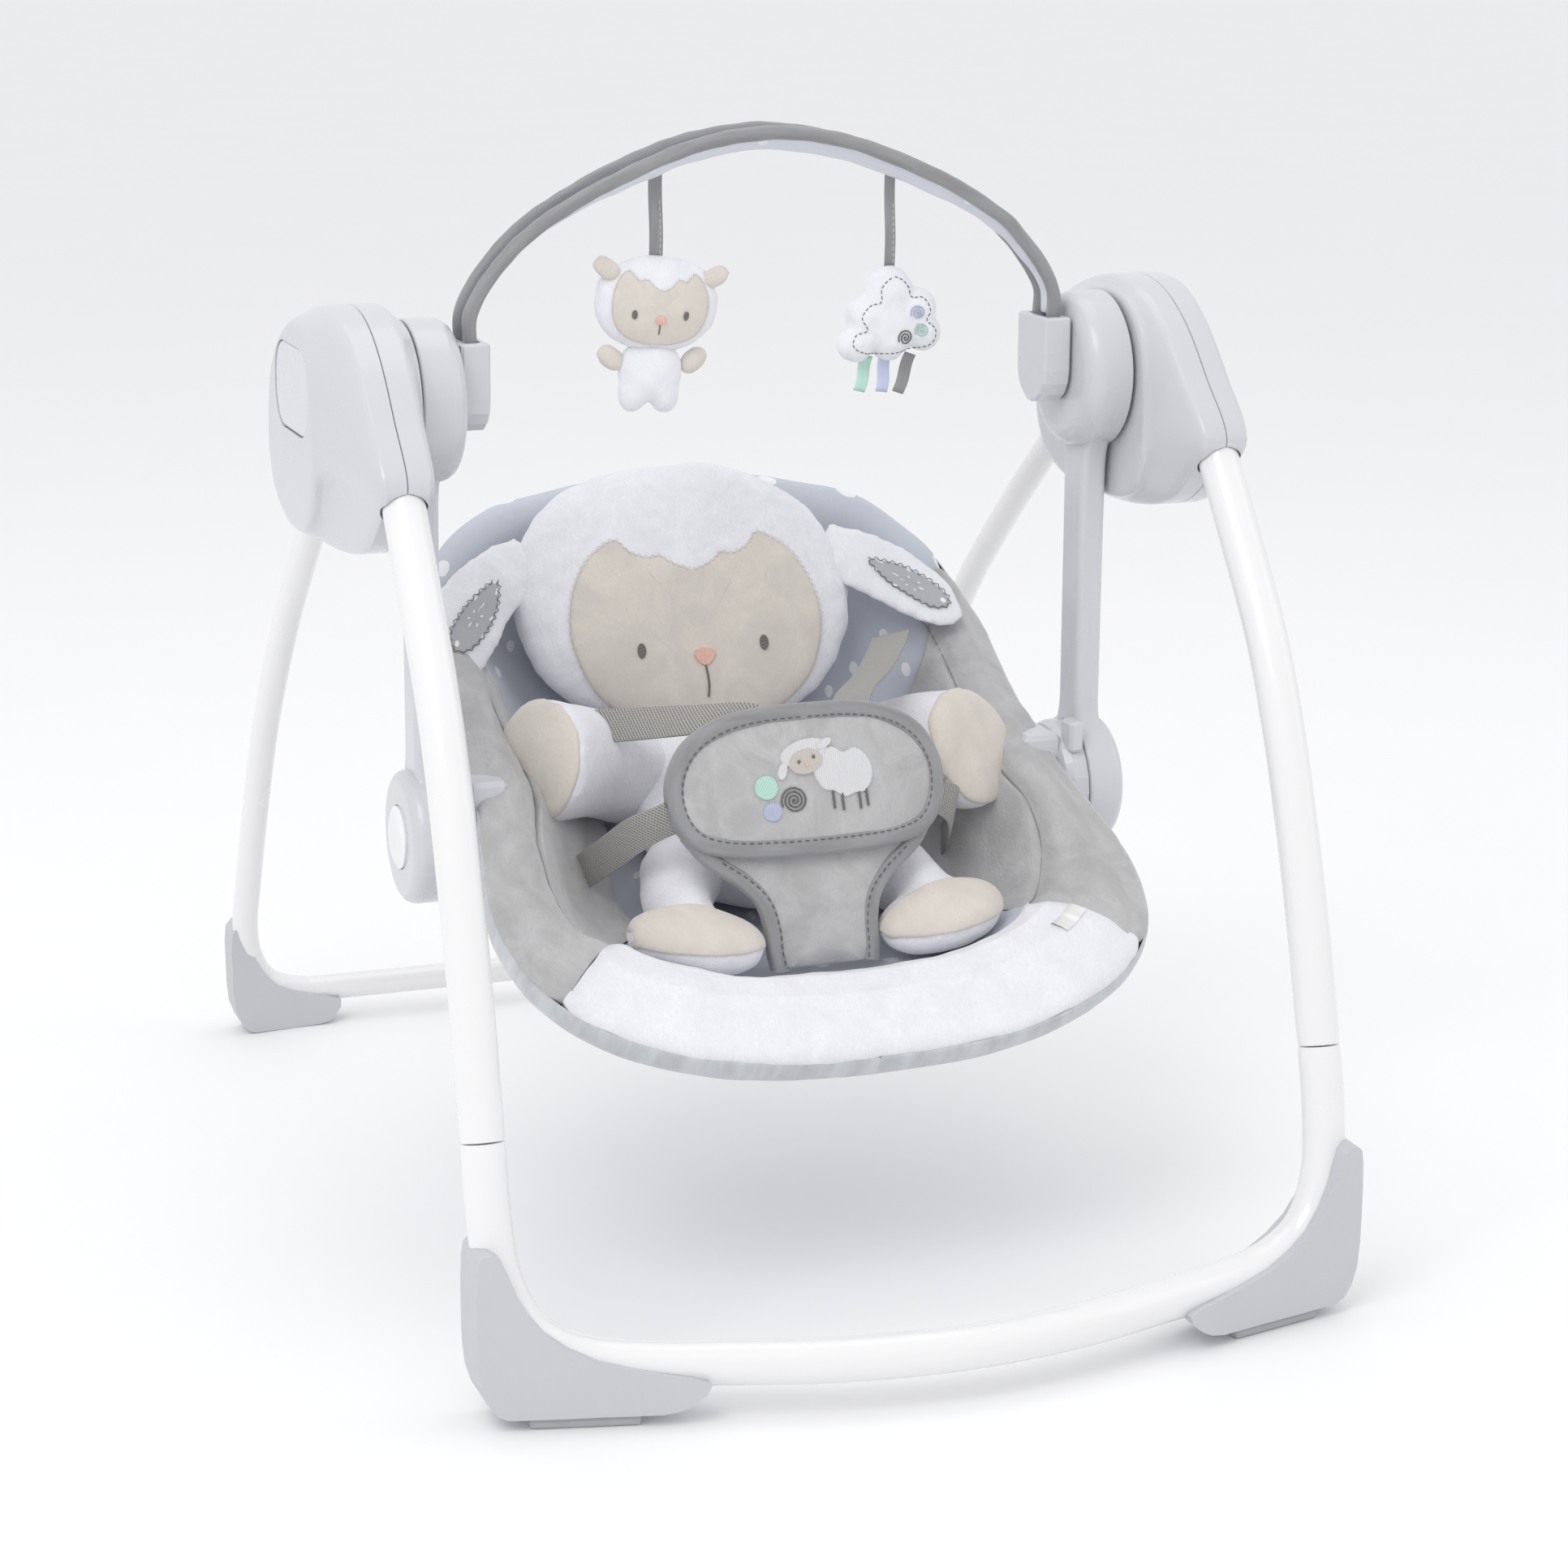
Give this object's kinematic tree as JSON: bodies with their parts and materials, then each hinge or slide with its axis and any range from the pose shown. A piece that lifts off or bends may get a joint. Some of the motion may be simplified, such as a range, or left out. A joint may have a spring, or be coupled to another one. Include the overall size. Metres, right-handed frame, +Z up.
{
  "type": "baby swing",
  "caption": "Folding portable baby swing: tube frame, two drive hubs, hanging arms, padded lamb seat with harness, and a tilting toy bar with soft toys.",
  "frame": {"origin": "centre of the floor rectangle that the swing covers, at floor level", "axes": "+Z up, -Y towards the front where the baby's feet point, +X to the right seen from the front"},
  "size_m": [0.5805, 0.7882, 0.687],
  "materials": {
    "hub_plastic": "smooth light grey moulded plastic",
    "foot_plastic": "satin light grey moulded plastic",
    "white_plastic": "white moulded plastic",
    "tube_paint": "gloss white powder coat on steel tube",
    "steel": "plain steel",
    "nylon": "natural nylon",
    "rubber_pad": "grey rubber",
    "board": "green circuit board",
    "battery_wrap": "dark wrap",
    "grey_velour": "short grey velour",
    "white_plush": "white plush",
    "beige_plush": "beige plush",
    "dotted_fabric": "blue-grey fabric with white dots",
    "grey_binding": "dark grey satin binding",
    "webbing": "grey-brown woven webbing"
  },
  "bodies": {
    "frame": {"housing_left_outer": "hub_plastic", "housing_left_inner": "hub_plastic", "housing_right_outer": "hub_plastic", "housing_right_inner": "hub_plastic", "badge_panel": "white_plastic", "control_panel": "foot_plastic", "battery_door": "hub_plastic", "battery_pack": "battery_wrap", "drive_motor": "steel", "circuit_board": "board", "speaker": "battery_wrap", "bearing_left": "nylon", "bearing_right": "nylon", "rear_pivot_pin_left": "steel", "rear_pivot_pin_right": "steel", "front_leg_left": "tube_paint", "front_leg_right": "tube_paint", "front_base_tube": "tube_paint", "front_foot_left": "foot_plastic", "front_foot_right": "foot_plastic", "front_pad_left": "rubber_pad", "front_pad_right": "rubber_pad"},
    "rear_legs": {"rear_leg_tube": "tube_paint", "rear_foot_left": "foot_plastic", "rear_foot_right": "foot_plastic", "rear_knuckle_left": "foot_plastic", "rear_knuckle_right": "foot_plastic"},
    "swing": {"swing_arm_left": "hub_plastic", "swing_arm_right": "hub_plastic", "swing_axle_left": "steel", "swing_axle_right": "steel", "drive_gear": "nylon"},
    "seat": {"seat_hub_left": "hub_plastic", "seat_hub_right": "hub_plastic", "seat_frame": "steel", "seat_sling": "grey_velour", "lamb_head": "white_plush", "lamb_body": "white_plush", "lamb_arm_left": "white_plush", "lamb_arm_right": "white_plush", "lamb_foot_left": "beige_plush", "lamb_foot_right": "beige_plush", "crotch_pad": "grey_velour", "waist_strap_left": "webbing", "waist_strap_right": "webbing"},
    "toy_bar": {"toy_bar_socket_left": "hub_plastic", "toy_bar_socket_right": "hub_plastic", "toy_bar_frame": "grey_binding", "toy_bar_sleeve": "dotted_fabric"},
    "hanging_lamb": {"toy_lamb": "white_plush", "toy_lamb_strap": "grey_binding"},
    "hanging_cloud": {"toy_cloud": "white_plush", "toy_cloud_strap": "grey_binding"},
    "pinion": {"motor_pinion": "nylon"},
    "speed_key": {"speed_button": "white_plastic"},
    "music_key": {"music_button": "white_plastic"},
    "fold_key_left": {"fold_button_left": "foot_plastic"},
    "fold_key_right": {"fold_button_right": "foot_plastic"},
    "recline_key_left": {"recline_button_left": "white_plastic"},
    "recline_key_right": {"recline_button_right": "white_plastic"}
  },
  "joints": [
    {"name": "swing_pivot", "type": "hinge", "parent": "frame", "child": "swing", "pos_m": [0, -0.0434, 0.528], "axis": [1, 0, 0], "range_deg": [-15, 15]},
    {"name": "seat_recline", "type": "hinge", "parent": "swing", "child": "seat", "pos_m": [0, -0.0434, 0.258], "axis": [1, 0, 0], "range_deg": [-12, 6]},
    {"name": "rear_legs_fold", "type": "hinge", "parent": "frame", "child": "rear_legs", "pos_m": [0, 0.0366, 0.478], "axis": [1, 0, 0], "range_deg": [-45, 0]},
    {"name": "toy_bar_tilt", "type": "hinge", "parent": "swing", "child": "toy_bar", "pos_m": [0, -0.0434, 0.528], "axis": [1, 0, 0], "range_deg": [-30, 60]},
    {"name": "toy_lamb_swing", "type": "hinge", "parent": "toy_bar", "child": "hanging_lamb", "pos_m": [-0.07, -0.0434, 0.662], "axis": [1, 0, 0], "range_deg": [-40, 40]},
    {"name": "toy_cloud_swing", "type": "hinge", "parent": "toy_bar", "child": "hanging_cloud", "pos_m": [0.083, -0.0434, 0.662], "axis": [1, 0, 0], "range_deg": [-40, 40]},
    {"name": "pinion_spin", "type": "hinge", "parent": "frame", "child": "pinion", "pos_m": [0.24, -0.01041, 0.54338], "axis": [1, 0, 0], "range_deg": [-62, 62]},
    {"name": "speed_button_press", "type": "slide", "parent": "frame", "child": "speed_key", "axis": [-1, 0, 0], "range_m": [0, 0.0012], "stiffness_N_per_m": 300, "springref_m": -0.002},
    {"name": "music_button_press", "type": "slide", "parent": "frame", "child": "music_key", "axis": [-1, 0, 0], "range_m": [0, 0.0012], "stiffness_N_per_m": 300, "springref_m": -0.002},
    {"name": "fold_button_left_press", "type": "slide", "parent": "frame", "child": "fold_key_left", "axis": [0, -0.9363, -0.3511], "range_m": [0, 0.003], "stiffness_N_per_m": 300, "springref_m": -0.002},
    {"name": "fold_button_right_press", "type": "slide", "parent": "frame", "child": "fold_key_right", "axis": [0, -0.9363, -0.3511], "range_m": [0, 0.003], "stiffness_N_per_m": 300, "springref_m": -0.002},
    {"name": "recline_button_left_press", "type": "slide", "parent": "swing", "child": "recline_key_left", "axis": [1, 0, 0], "range_m": [0, 0.002], "stiffness_N_per_m": 600, "springref_m": -0.003},
    {"name": "recline_button_right_press", "type": "slide", "parent": "swing", "child": "recline_key_right", "axis": [-1, 0, 0], "range_m": [0, 0.002], "stiffness_N_per_m": 600, "springref_m": -0.003}
  ],
  "couplings": [
    {"joint": "pinion_spin", "follows": "swing_pivot", "ratio": -4}
  ]
}
